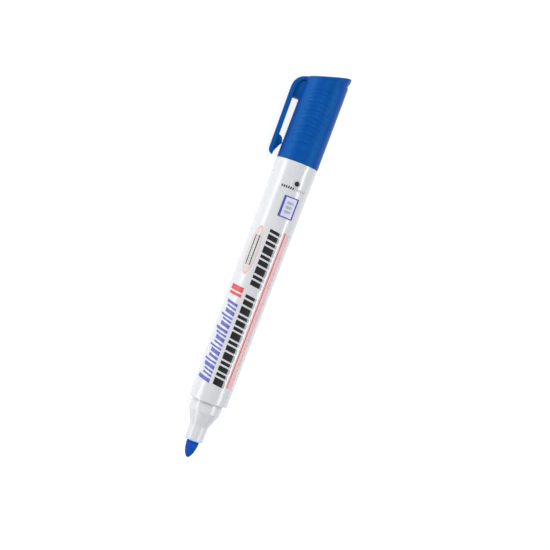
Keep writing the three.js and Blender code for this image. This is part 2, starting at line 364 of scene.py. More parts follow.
class Look:
    """A Principled material with short calls for its procedural nodes."""

    def __init__(self, name, roughness, **uniform):
        self.material = bpy.data.materials.new(name)
        self.material.use_nodes = True
        self.nodes = self.material.node_tree.nodes
        self.links = self.material.node_tree.links
        self.shader = self.nodes["Principled BSDF"]
        self.shader.inputs["Roughness"].default_value = roughness
        for socket, value in uniform.items():
            self.shader.inputs[socket.replace("_", " ")].default_value = value
        self.position = self.nodes.new("ShaderNodeTexCoord").outputs["Object"]

    def join(self, source, node, socket):
        self.links.new(source, node.inputs[socket])

    def scaled(self, along, around):
        """Object position stretched: noise per metre along the marker and across it."""
        mapping = self.nodes.new("ShaderNodeMapping")
        mapping.inputs["Scale"].default_value = (along, around, around)
        self.join(self.position, mapping, "Vector")
        return mapping.outputs["Vector"]

    def noise(self, along, around, detail=3.0, roughness=0.5):
        node = self.nodes.new("ShaderNodeTexNoise")
        node.inputs["Scale"].default_value = 1.0
        node.inputs["Detail"].default_value = detail
        node.inputs["Roughness"].default_value = roughness
        self.join(self.scaled(along, around), node, "Vector")
        return node.outputs["Fac"]

    def ramp(self, source, stops):
        """Colour ramp from (position, colour) stops; a number stands for a grey."""
        node = self.nodes.new("ShaderNodeValToRGB")
        elements = node.color_ramp.elements
        while len(elements) < len(stops):
            elements.new(0.5)
        for element, (position, colour) in zip(elements, stops):
            element.position = position
            grey = isinstance(colour, (int, float))
            element.color = (colour, colour, colour, 1.0) if grey else colour
        self.join(source, node, "Fac")
        return node.outputs["Color"]

    def mix(self, factor, first, second, blend="MIX"):
        node = self.nodes.new("ShaderNodeMix")
        node.data_type = "RGBA"
        node.blend_type = blend
        for value, socket in ((factor, 0), (first, 6), (second, 7)):
            if isinstance(value, bpy.types.NodeSocket):
                self.links.new(value, node.inputs[socket])
            else:
                node.inputs[socket].default_value = value
        return node.outputs[2]

    def coordinate(self, axis):
        node = self.nodes.new("ShaderNodeSeparateXYZ")
        self.join(self.position, node, "Vector")
        return node.outputs[axis]

    def between(self, source, low, high):
        """0 to 1 as source goes from low to high."""
        node = self.nodes.new("ShaderNodeMapRange")
        node.inputs["From Min"].default_value = low
        node.inputs["From Max"].default_value = high
        self.join(source, node, "Value")
        return node.outputs["Result"]

    def spread(self, source, low, high):
        """low to high as source goes from 0 to 1."""
        node = self.nodes.new("ShaderNodeMapRange")
        node.inputs["To Min"].default_value = low
        node.inputs["To Max"].default_value = high
        self.join(source, node, "Value")
        return node.outputs["Result"]

    def colour(self, source):
        self.join(source, self.shader, "Base Color")

    def rough(self, source, low, high):
        self.join(self.spread(source, low, high), self.shader, "Roughness")

    def bump(self, *layers):
        """Bump from (source, depth in metres) layers, laid one on another."""
        normal = None
        for source, depth in layers:
            node = self.nodes.new("ShaderNodeBump")
            node.inputs["Strength"].default_value = 1.0
            node.inputs["Distance"].default_value = depth
            self.join(source, node, "Height")
            if normal:
                self.join(normal, node, "Normal")
            normal = node.outputs["Normal"]
        self.join(normal, self.shader, "Normal")


def white_plastic(name, rough, tint_from=None, tint_to=None):
    """Glossy white polypropylene; the nozzle's rim is tinted by the ink behind it."""
    look = Look(name, 0.18, IOR=1.49, Specular_IOR_Level=0.8, Subsurface_Weight=0.1,
                Subsurface_Scale=0.0008)
    look.shader.inputs["Subsurface Radius"].default_value = (1.0, 0.9, 0.8)
    clouds = look.noise(90, 260, 4)
    base = look.ramp(clouds, [(0.3, linear(190, 192, 196)), (0.7, linear(195, 197, 200))])
    if tint_from is not None:
        stain = look.between(look.coordinate("X"), tint_from, tint_to)
        base = look.mix(stain, base, linear(150, 190, 232))
    look.colour(base)
    look.rough(look.noise(60, 900, 5), *rough)
    look.bump((look.noise(350, 350, 2), 1e-6), (look.noise(120, 2600, 3), 8e-7))
    return look.material


def blue_plastic():
    """Glossy blue polypropylene of the cap and clip, with fine handling marks."""
    look = Look("blue_cap_plastic", 0.46, IOR=1.45, Specular_IOR_Level=0.46)
    look.shader.inputs["Specular Tint"].default_value = (0.05, 0.7, 1.0, 1.0)
    clouds = look.noise(110, 300, 4)
    base = look.ramp(clouds, [(0.3, linear(6, 58, 134)), (0.7, linear(11, 64, 141))])
    scuffs = look.ramp(look.noise(1500, 160, 6, 0.7), [(0.62, 0.0), (0.8, 1.0)])
    base = look.mix(look.mix(0.05, (0, 0, 0, 1), scuffs), base, linear(60, 120, 190))
    look.colour(base)
    look.rough(look.noise(200, 900, 5), 0.4, 0.52)
    look.bump((look.noise(420, 420, 2), 3e-6), (look.noise(2400, 500, 4), 1e-6))
    return look.material


def wet_fibre():
    """Bonded polyester fibre soaked in blue ink: fine streaks along the rod."""
    look = Look("nib_fibre", 0.6, IOR=1.45, Specular_IOR_Level=0.12)
    streaks = look.noise(700, 7000, 4, 0.6)
    base = look.ramp(streaks, [
        (0.32, linear(5, 50, 130)),
        (0.52, linear(8, 72, 163)),
        (0.72, linear(20, 97, 190)),
    ])
    wet = look.ramp(look.noise(500, 500, 3), [(0.4, 0.0), (0.65, 1.0)])
    look.colour(look.mix(look.mix(0.35, (0, 0, 0, 1), wet), base, linear(5, 44, 120)))
    look.rough(look.noise(900, 4000, 3), 0.45, 0.8)
    look.bump((streaks, 2.5e-5), (look.noise(5200, 5200, 2), 1.2e-5))
    return look.material


def core_fibre():
    """Soft fibre bundle of the reservoir, unevenly soaked with ink."""
    look = Look("reservoir_fibre", 0.95, Sheen_Weight=0.2, Sheen_Roughness=0.6)
    strands = look.noise(220, 3800, 5, 0.65)
    soak = look.noise(60, 120, 3)
    dark = look.ramp(strands, [(0.35, linear(18, 50, 120)), (0.7, linear(46, 92, 176))])
    pale = look.ramp(strands, [(0.35, linear(120, 150, 200)), (0.7, linear(196, 208, 230))])
    look.colour(look.mix(look.ramp(soak, [(0.45, 0.0), (0.75, 1.0)]), dark, pale))
    look.bump((strands, 6e-5), (look.noise(2600, 2600, 2), 2e-5))
    return look.material


def clear_film():
    """Thin crinkled film round the ink core, stained by what it holds."""
    look = Look("reservoir_film", 0.22, IOR=1.5, Coat_Weight=0.3)
    crinkle = look.noise(140, 620, 5, 0.7)
    look.colour(look.ramp(crinkle, [(0.3, linear(120, 150, 206)), (0.7, linear(190, 206, 232))]))
    look.rough(crinkle, 0.12, 0.34)
    look.bump((crinkle, 8e-5), (look.noise(1800, 1800, 2), 6e-6))
    return look.material


def seal_plastic():
    """Waxy natural polyethylene with faint flow marks and traces of ink."""
    look = Look("seal_plastic", 0.42, IOR=1.51, Subsurface_Weight=0.3, Subsurface_Scale=0.002)
    flow = look.noise(260, 900, 4)
    base = look.ramp(flow, [(0.3, linear(226, 227, 222)), (0.7, linear(240, 240, 236))])
    spots = look.ramp(look.noise(900, 900, 4, 0.6), [(0.66, 0.0), (0.74, 1.0)])
    look.colour(look.mix(look.mix(0.5, (0, 0, 0, 1), spots), base, linear(120, 160, 220)))
    look.rough(flow, 0.36, 0.5)
    look.bump((flow, 8e-6), (look.noise(2400, 2400, 2), 3e-6))
    return look.material


def printed_ink(name, colour, faded):
    """Screen-printed ink: slightly uneven cover and a matt-to-satin sheen."""
    look = Look(name, 0.36, IOR=1.5, Specular_IOR_Level=0.35)
    cover = look.noise(2200, 2200, 4, 0.65)
    look.colour(look.ramp(cover, [(0.35, linear(*colour)), (0.78, linear(*faded))]))
    look.rough(look.noise(1500, 1500, 3), 0.28, 0.5)
    look.bump((cover, 4e-6))
    return look.material


FLOOR_GLOW = 0.86                       # the table is a softly lit light table


def pale_floor():
    """Matt near-white table, lit from below so that shadows on it stay faint."""
    look = Look("table_white", 0.75, Emission_Strength=FLOOR_GLOW)
    look.shader.inputs["Emission Color"].default_value = (1.0, 1.0, 1.0, 1.0)
    grain = look.noise(900, 900, 4)
    look.colour(look.ramp(grain, [(0.3, linear(110, 110, 111)), (0.7, linear(114, 114, 115))]))
    look.bump((grain, 1e-5))
    return look.material


# ---------------------------------------------------------------- barrel and nose

def make_barrel(material):
    """Tapered tube with rounded ends, drawn in at the front to hold the nose."""
    front, rear = BARREL_FRONT_RADIUS, BARREL_REAR_RADIUS
    mouth = COLLAR_RADIUS + 0.07
    profile = rounded([
        (0, mouth, 0.12),
        (0, front, 0.4),
        (BARREL_END, rear, 0.12),
        (BARREL_END, rear - BARREL_WALL, 0.15),
        (3.2, front - BARREL_WALL, 0.3),
        (2.4, mouth, 0.2),
    ], closed=True)
    return new_piece("barrel_tube", turned(profile, 160, closed=True), material)


def make_nib_holder(material):
    """Nozzle, cone and collar with a spigot behind, hollow for the nib."""
    bore = NIB_RADIUS + 0.07
    profile = rounded([
        (NOZZLE_END, bore, 0.12),
        (NOZZLE_END, NOZZLE_RADIUS - 0.02, 0.3),
        (-13.4, NOZZLE_RADIUS - 0.02, 0.3),
        (-10.0, NOZZLE_RADIUS + 0.06, 0.7),
        (-4.35, 5.93, 0.16),
        (-4.1, COLLAR_RADIUS, 0.14),
        (-0.5, COLLAR_RADIUS, 0.1),
        (HOLDER_REAR, COLLAR_RADIUS, 0.4),
        (HOLDER_REAR, 4.6, 0.2),
        (-3.0, 4.6, 0.4),
        (-4.5, bore, 0.4),
    ], closed=True)
    return new_piece("nib_holder_nose", turned(profile, 144, closed=True), material)


def make_nib(material):
    """Fibre rod with a bullet point whose surface follows the bundled fibres."""
    bullet_steps, rod_steps, rod_length = 26, 20, 33
    profile = []
    for step in range(bullet_steps + 1):
        along = (step / bullet_steps) ** 1.6
        radius = NIB_RADIUS * (1 - (1 - along) ** BULLET_POWER) ** (1 / BULLET_POWER)
        profile.append((NIB_TIP + along * BULLET_LENGTH, radius))
    for step in range(1, rod_steps):
        profile.append((NIB_TIP + BULLET_LENGTH + step * (rod_length / rod_steps), NIB_RADIUS))
    profile += rounded([(NIB_REAR - 0.8, NIB_RADIUS, 0), (NIB_REAR, NIB_RADIUS, 0.4),
                        (NIB_REAR, 0, 0)])

    def fibres(station, radius, angle):
        strand = math.sin(17 * angle + 0.35 * station) + 0.6 * math.sin(31 * angle - 0.6 * station)
        return station, radius * (1 - 0.004 * (strand + 1.6))
    return new_piece("nib_rod", turned(profile, 144, shape=fibres), material)


# ---------------------------------------------------------------- inside the barrel

def make_reservoir_core(material):
    """Fibre rod with a socket for the nib, lumpy where the bundle is gathered."""
    socket_end = NIB_REAR + 0.25
    profile = [(socket_end, 0.0)]
    profile += rounded([
        (socket_end, NIB_RADIUS + 0.12, 0),
        (CORE_FRONT, NIB_RADIUS + 0.12, 0.2),
        (CORE_FRONT, CORE_RADIUS, 0.5),
        (CORE_REAR, CORE_RADIUS, 0.5),
        (CORE_REAR, 0.0, 0),
    ])
    lengthened = []
    for (s0, r0), (s1, r1) in zip(profile, profile[1:]):
        pieces = max(1, int(abs(s1 - s0) / 1.5))
        for k in range(pieces):
            t = k / pieces
            lengthened.append((s0 + (s1 - s0) * t, r0 + (r1 - r0) * t))
    lengthened.append(profile[-1])

    def lumps(station, radius, angle):
        if radius < CORE_RADIUS * 0.9:
            return station, radius
        lump = math.sin(9 * angle + 0.21 * station) * math.sin(0.5 * station + 2 * angle)
        return station, radius - 0.035 * (1 + lump)
    return new_piece("ink_core", turned(lengthened, 120, shape=lumps), material)


def make_sleeve(material):
    """Film round the core with a lapped seam along it."""
    lap = 0.05
    stations_along = np.linspace(CORE_FRONT, CORE_REAR, 60)
    outer = [(s, SLEEVE_RADIUS - lap) for s in stations_along]
    inner = [(s, SLEEVE_RADIUS - 0.25) for s in stations_along[::-1]]

    def wrinkles(station, radius, angle):
        if radius < SLEEVE_RADIUS - 0.1:
            return station, radius
        seam = lap * float(smooth(0.5, 0.0, abs(angle - math.pi)))
        crease = 0.02 * math.sin(7 * angle + 0.3 * station) * math.sin(0.23 * station)
        return station, radius + seam - abs(crease)
    return new_piece("ink_core_film", turned(outer + inner, 120, closed=True, shape=wrinkles),
                     material)


def make_tail_plug(material):
    """Stepped cup that closes the barrel, with a moulding gate on its end."""
    step_inside = BARREL_END - PLUG_WALL
    profile = rounded([
        (PLUG_FRONT, PLUG_RADIUS - PLUG_WALL, 0.15),
        (PLUG_FRONT, PLUG_RADIUS, 0.5),
        (BARREL_END, PLUG_RADIUS, 0.12),
        (BARREL_END, STUB_RADIUS, 0.12),
        (PLUG_REAR - 0.15, STUB_RADIUS, 0.7),
        (PLUG_REAR - 0.15, 1.5, 0.25),
        (PLUG_REAR - 0.45, 1.2, 0.1),
        (PLUG_REAR - 0.45, 0.5, 0.05),
        (PLUG_REAR - 0.05, 0.45, 0.05),
        (PLUG_REAR - 0.05, 0.0, 0),
    ])
    profile += rounded([
        (PLUG_REAR - PLUG_WALL - 0.15, 0.0, 0),
        (PLUG_REAR - PLUG_WALL - 0.15, STUB_RADIUS - PLUG_WALL, 0.4),
        (step_inside, STUB_RADIUS - PLUG_WALL, 0.2),
        (step_inside - 1, PLUG_RADIUS - PLUG_WALL, 0.3),
        (PLUG_FRONT + 0.4, PLUG_RADIUS - PLUG_WALL, 0),
    ])
    return new_piece("tail_stub_plug", turned(profile, 128, closed=True), material)


# ---------------------------------------------------------------- cap

def broad_face(angle):
    """Degrees round the axis from the middle of the nearer of the cap's two broad faces."""
    from_clip = abs((angle + math.pi) % (2 * math.pi) - math.pi)
    return abs(math.degrees(from_clip) - 90)


def ridge_relief(station, angle):
    """Height (mm) of the arched grip ridges above the wall they stand in."""
    spread = broad_face(angle)
    arched = station + 0.0113 * spread + 0.00076 * spread ** 2
    nearest = round((arched - RIDGE_FIRST) / RIDGE_PITCH)
    main = arched - RIDGE_FIRST - RIDGE_PITCH * min(max(nearest, 0), RIDGE_COUNT - 1)
    half = (arched - RIDGE_FIRST) / RIDGE_PITCH - 0.5
    fine = (half - min(max(round(half), 0), RIDGE_COUNT - 2)) * RIDGE_PITCH
    return (RIDGE_HEIGHT * math.exp(-(main / 0.3) ** 2)
            + FINE_RIDGE_HEIGHT * math.exp(-(fine / 0.24) ** 2))


def make_cap_shell(material):
    """Cap's round wall: arched ridges, a notch under the high side's lip, grips in the mouth.

    The wall is laid out in rows of points. A row is fixed at its station; or ridged, squeezed
    where the slanted end is low; or rising, a share of the way from the last ridged row to the
    notch; or notch or under, at a depth below the slanted end.
    """
    ridged_end = RIDGE_FIRST + RIDGE_PITCH * (RIDGE_COUNT - 1) + 0.5
    ridged_start, ridged_stop = CAP_MOUTH + 4.2, ridged_end + 1.6
    ridged_clear, notch_clear = 4.8, 4.3
    mouth_edge = 0.2
    rows = [("fixed", CAP_MOUTH - 0.2, CAP_MOUTH_RADIUS - mouth_edge)]
    rows += [("fixed", CAP_MOUTH - mouth_edge * math.cos(a),
              CAP_MOUTH_RADIUS - mouth_edge * (1 - math.sin(a)))
             for a in np.linspace(0.3, math.pi / 2, 4)]
    rows += [("fixed", s, cap_radius(s)) for s in (CAP_MOUTH + 0.3, CAP_MOUTH + 3)]
    rows += [("ridged", s, cap_radius(s))
             for s in np.arange(ridged_start, ridged_stop, 0.13)]
    rows += [("rising", t, CAP_TOP_RADIUS) for t in np.linspace(0.1, 1, 7)]
    rows += [("notch", depth, cut) for depth, cut in (
        (4.1, 0.0), (3.7, 0.08), (3.4, 0.26), (3.1, 0.36), (2.8, 0.36), (2.3, 0.2), (1.8, 0.06))]
    rows += [("under", 1.35, CAP_TOP_RADIUS - 0.05), ("under", 1.2, CAP_TOP_RADIUS - 0.4)]
    rows += [("under", 1.2, CAP_BORE), ("under", 2.4, CAP_BORE), ("rising", 0.4, CAP_BORE)]
    rows += [("fixed", s, CAP_BORE) for s in (118, 108, 100, CAP_MOUTH + 0.6)]
    rows += [("fixed", CAP_MOUTH + 0.15, CAP_BORE + 0.08),
             ("fixed", CAP_MOUTH - 0.08, CAP_BORE + 0.22),
             ("fixed", CAP_MOUTH - 0.18, CAP_BORE + 0.4)]

    segments = 240
    points, faces = [], []
    for kind, value, size in rows:
        for k in range(segments):
            angle = 2 * math.pi * k / segments
            radius = CAP_TOP_RADIUS if kind == "notch" else size
            offset, width = radius * math.cos(angle), radius * math.sin(angle)
            end = float(cap_end(offset, width))
            last_ridged = min(ridged_stop, end - ridged_clear)
            if kind == "fixed":
                station = value
            elif kind == "ridged":
                squeeze = (last_ridged - ridged_start) / (ridged_stop - ridged_start)
                station = ridged_start + (value - ridged_start) * squeeze
                fade = 1 - float(smooth(38, 54, broad_face(angle)))
                fade *= float(smooth(RIDGE_FIRST - 3.5, RIDGE_FIRST - 1.5, value))
                fade *= 1 - float(smooth(ridged_end - 0.4, ridged_end + 1.5, value))
                radius += fade * (ridge_relief(station, angle) - RIDGE_SINK)
            elif kind == "rising":
                station = last_ridged + (end - notch_clear - last_ridged) * value
            else:
                station = end - value
            if kind == "notch":
                radius -= size * float(smooth(0.35, 0.8, -math.cos(angle)))
            points.append((station, radius * math.cos(angle), radius * math.sin(angle)))
    for row in range(len(rows)):
        after = (row + 1) % len(rows)
        for k in range(segments):
            back = (k - 1) % segments
            faces.append([row * segments + k, row * segments + back,
                          after * segments + back, after * segments + k])

    grips = [grip_rib(2 * math.pi * (k + 0.5) / 6) for k in range(6)]
    return new_piece("cap_body", joined((points, faces), *grips), material, 50)


def grip_rib(angle):
    """One rounded rib inside the cap's mouth, at an angle round the axis."""
    work = flat_slab([(CAP_MOUTH + 1, -0.45), (CAP_MOUTH + 8.5, -0.45),
                      (CAP_MOUTH + 8.5, 0.45), (CAP_MOUTH + 1, 0.45)],
                     STUB_RADIUS + 0.3, CAP_BORE + 0.25)
    bmesh.ops.bevel(work, geom=work.edges[:], offset=0.14, segments=2, affect="EDGES")
    points, faces = shell_of(work)
    turned_points = []
    for station, across, radius in points:
        turned_points.append((station,
                              radius * math.cos(angle) - across * math.sin(angle),
                              radius * math.sin(angle) + across * math.cos(angle)))
    return turned_points, faces


PLATE_POINTS = 80                      # points of the clip's path that lie on the end plate


def clip_path():
    """Outer face of the end plate and clip in side view, from the cap's high side to the tip.

    Returns arrays of arc length, (station, offset) points and outward normals.
    """
    high_side = -(LIP_RADIUS + LIP_SHIFT)
    shoulder_outer = clip_outer(SHOULDER_START)
    shoulder_end = shoulder_outer - SHOULDER_INSET
    points = [(float(cap_end(o)), o)
              for o in np.linspace(high_side, shoulder_end, PLATE_POINTS)]
    start = np.array(points[-1])
    corner = np.array((float(cap_end(shoulder_outer)) - SHOULDER_DROP, shoulder_outer))
    end = np.array((SHOULDER_START, shoulder_outer))
    for t in np.linspace(0.04, 1, 24):
        points.append(tuple(start * (1 - t) ** 2 + corner * 2 * t * (1 - t) + end * t * t))
    turn = CLIP_END + CLIP_END_RADIUS
    points += [(s, clip_outer(s)) for s in np.linspace(SHOULDER_START, turn, 40)[1:]]
    for a in np.linspace(0, math.pi / 2, 14)[1:]:
        points.append((turn - CLIP_END_RADIUS * math.sin(a),
                       clip_outer(turn) - CLIP_END_RADIUS * (1 - math.cos(a))))
    points = np.array(points)
    steps = np.diff(points, axis=0)
    length = np.concatenate([[0], np.cumsum(np.hypot(steps[:, 0], steps[:, 1]))])
    tangent = np.gradient(points, length, axis=0)
    tangent /= np.linalg.norm(tangent, axis=1)[:, None]
    normal = np.stack([tangent[:, 1], -tangent[:, 0]], axis=1)
    return length, points, normal


def make_clip(material):
    """End plate of the cap and clip in one band, which narrows from the round end to the arm."""
    length, path, normal = clip_path()
    total = length[-1]

    def half_width(u):
        offset = float(np.interp(u, length, path[:, 1]))
        station = float(np.interp(u, length, path[:, 0]))
        inside = LIP_RADIUS ** 2 - (offset + LIP_SHIFT) ** 2
        round_part = math.sqrt(max(inside, 0)) if station > SHOULDER_START else 0.0
        if u < LIP_RADIUS:
            return round_part
        arm = CLIP_HALF_WIDTH
        from_end = total - u
        if from_end < CLIP_CORNER:
            corner_part = CLIP_CORNER ** 2 - (CLIP_CORNER - from_end) ** 2
            arm -= CLIP_CORNER - math.sqrt(max(corner_part, 0))
        return (round_part ** 5 + arm ** 5) ** 0.2

    disc_span = float(np.interp(LIP_RADIUS - LIP_SHIFT, path[:PLATE_POINTS, 1],
                                length[:PLATE_POINTS]))
    along = [disc_span / 2 * (1 - math.cos(a)) for a in np.linspace(0, math.pi, 72)]
    along += list(np.linspace(disc_span, total - CLIP_CORNER, 30)[1:])
    along += [total - CLIP_CORNER * (1 - math.sin(a))
              for a in np.linspace(0, math.pi / 2, 7)[1:]]
    right = [(u, half_width(u)) for u in along]
    outline = right + [(u, -w) for u, w in right[:0:-1]]
    work = flat_slab(outline, -1.0, 0.0)
    soften_rims(work, 0.22, 1)
    soften_rims(work, 0.09, -1, 2)
    cut_across(work, list(np.linspace(disc_span * 0.05, disc_span, 24))
               + list(np.arange(disc_span, total, 0.3)), (1, 0, 0))

    def bent(point):
        u, width, depth = point
        thickness = LIP_THICKNESS + (CLIP_THICKNESS - LIP_THICKNESS) * float(
            smooth(disc_span, disc_span + 5, u))
        station = np.interp(u, length, path[:, 0])
        offset = np.interp(u, length, path[:, 1])
        dome = 1 - float(smooth(disc_span - 1, disc_span + 4, u))
        out_station = dome + (1 - dome) * np.interp(u, length, normal[:, 0])
        out_offset = (1 - dome) * np.interp(u, length, normal[:, 1])
        station -= dome * END_DOME * (width / LIP_RADIUS) ** 2
        return (station + out_station * depth * thickness,
                offset + out_offset * depth * thickness, width)
    points, faces = shell_of(work)
    band = [bent(point) for point in points], faces

    return new_piece("clip_and_end_plate", joined(band, clip_pad(), clip_web()), material, 35)


def side_slab(outline, half_width, rim):
    """Slab with a side outline of (station, offset) points, centred on width 0."""
    work = flat_slab(outline, -half_width, half_width)
    soften_rims(work, rim)
    return shell_of(work)


def clip_pad():
    """Hooked pad under the arm's free end that grips against the cap."""
    def inner(station):
        return clip_outer(station) - CLIP_THICKNESS
    peak = CAP_MOUTH_RADIUS + 0.12
    outline = [(98.2, inner(98.2) + 0.6), (98.2, inner(98.2) - 0.1)]
    outline += [(101.4, peak + 0.4), (101.75, peak + 0.1), (102.0, peak), (102.3, peak + 0.03)]
    start, corner = np.array(outline[-1]), np.array((104.3, peak + 0.3))
    end = np.array((104.5, inner(104.5)))
    for t in np.linspace(0.1, 1, 9):
        outline.append(tuple(start * (1 - t) ** 2 + corner * 2 * t * (1 - t) + end * t * t))
    outline.append((104.5, inner(104.5) + 0.6))
    return side_slab(outline, WEB_HALF_WIDTH, 0.2)


def clip_web():
    """Web that joins the band to the cap's wall above the slot."""
    outer = clip_outer(SHOULDER_START) - CLIP_THICKNESS / 2
    outline = [(SLOT_TOP, CAP_BORE + 0.4), (SLOT_TOP, clip_outer(SLOT_TOP) - CLIP_THICKNESS / 2)]
    outline.append((SHOULDER_START - 0.6, outer))
    start = np.array((SHOULDER_START - 0.6, outer))
    inset = 0.9                        # the web's top lies this far inside the end plate's face
    corner = np.array((float(cap_end(outer)) - inset - 0.5, outer))
    end = np.array((float(cap_end(outer - 2.8)) - inset, outer - 2.8))
    for t in np.linspace(0.1, 1, 9):
        outline.append(tuple(start * (1 - t) ** 2 + corner * 2 * t * (1 - t) + end * t * t))
    outline.append((float(cap_end(CAP_BORE + 0.4)) - inset, CAP_BORE + 0.4))
    return side_slab(outline, WEB_HALF_WIDTH, 0.2)


def make_inner_seal(material):
    """Cup that closes round the nozzle, with a flange pressed into the cap."""
    outer = SEAL_BORE + SEAL_WALL
    flange = SEAL_REAR - 3.4
    profile = rounded([
        (SEAL_REAR - SEAL_WALL, 0.0, 0),
        (SEAL_REAR - SEAL_WALL, SEAL_BORE, 0.8),
        (SEAL_FRONT + 1.6, SEAL_BORE, 0.4),
        (SEAL_FRONT, SEAL_BORE + 0.35, 0.18),
        (SEAL_FRONT, outer, 0.2),
        (flange, outer, 0.5),
        (flange, SEAL_FLANGE_RADIUS, 0.3),
        (SEAL_REAR, SEAL_FLANGE_RADIUS, 0.3),
        (SEAL_REAR, 0.0, 0),
    ])
    return new_piece("cap_seal_cup", turned(profile, 120), material)


# ---------------------------------------------------------------- print on the barrel

PRINT_LIFT = 0.025                     # height of the ink above the barrel
PRINT_SUNK = 0.03                      # depth of the ink's underside below the barrel's surface
PRINT_FACET = 3                        # degrees between the cuts that let the ink curve
PRINT_WELD = 1e-4


def on_barrel(station, angle, height):
    """Point on the barrel; the angle (degrees) runs from +width away from the clip."""
    radius = barrel_radius(station) + height
    a = math.radians(angle)
    return station, -radius * math.sin(a), radius * math.cos(a)


def make_print(name, polygons, material, lift=PRINT_LIFT):
    """Thin curved layer of ink, from polygons of (station, angle) points.

    Polygons that share corners join into one shape with a wall round its outline only.
    """
    work = bmesh.new()
    for polygon in polygons:
        work.faces.new([work.verts.new((station, angle, 0)) for station, angle in polygon])
    bmesh.ops.remove_doubles(work, verts=work.verts[:], dist=PRINT_WELD)
    angles = [vertex.co.y for vertex in work.verts]
    first = math.ceil(min(angles) / PRINT_FACET) * PRINT_FACET
    cut_across(work, np.arange(first, max(angles), PRINT_FACET), (0, 1, 0))
    work.verts.index_update()
    flat = [(vertex.co.x, vertex.co.y) for vertex in work.verts]
    count = len(flat)
    points = [on_barrel(station, angle, height)
              for height in (-PRINT_SUNK, lift) for station, angle in flat]
    faces = []
    for face in work.faces:
        corners = [vertex.index for vertex in face.verts]
        faces += [corners[::-1], [corner + count for corner in corners]]
        for loop in face.loops:
            if loop.edge.is_boundary:
                a, b = loop.vert.index, loop.link_loop_next.vert.index
                faces.append([a, b, b + count, a + count])
    work.free()
    put(new_piece(name, (points, faces), material), "barrel", "print_ink")


def box_shape(s0, s1, a0, a1, lean=0.0):
    """Rectangle, or with a lean (mm) a parallelogram, between two stations and two angles."""
    return [(s0, a0), (s1, a0), (s1 + lean, a1), (s0 + lean, a1)]


def disc_shape(station, angle, half_length, half_angle, count=24):
    """Ellipse on the barrel."""
    return [(station + half_length * math.cos(t), angle + half_angle * math.sin(t))
            for t in np.linspace(0, 2 * math.pi, count, endpoint=False)]


def ring_shapes(station, angle, half_length, half_angle, rim, count=32):
    """Quads round an elliptical ring; rim is the ring's width as a share of its size."""
    shapes = []
    turns = np.linspace(0, 2 * math.pi, count + 1)
    for t0, t1 in zip(turns, turns[1:]):
        quad = []
        for t, scale in ((t0, 1.0), (t1, 1.0), (t1, 1 - rim), (t0, 1 - rim)):
            quad.append((station + half_length * scale * math.cos(t),
                         angle + half_angle * scale * math.sin(t)))
        shapes.append(quad)
    return shapes


def bar_row(start, end, low, high, widths, gap, lean, tops=(1.0,)):
    """Row of leaning bars from one station to another, their widths and heights in turn.

    low is the angle of the bars' feet and high that of the tallest bars' tops.
    """
    shapes = []
    station, k = start, 0
    while station + widths[k % len(widths)] <= end:
        width = widths[k % len(widths)]
        top = low + (high - low) * tops[k % len(tops)]
        shapes.append(box_shape(station, station + width, low, top, lean))
        station += width + gap
        k += 1
    return shapes


def shifted(shapes, along, around):
    """The same shapes moved along (mm) and around (degrees) the barrel."""
    return [[(s + along, a + around) for s, a in shape] for shape in shapes]


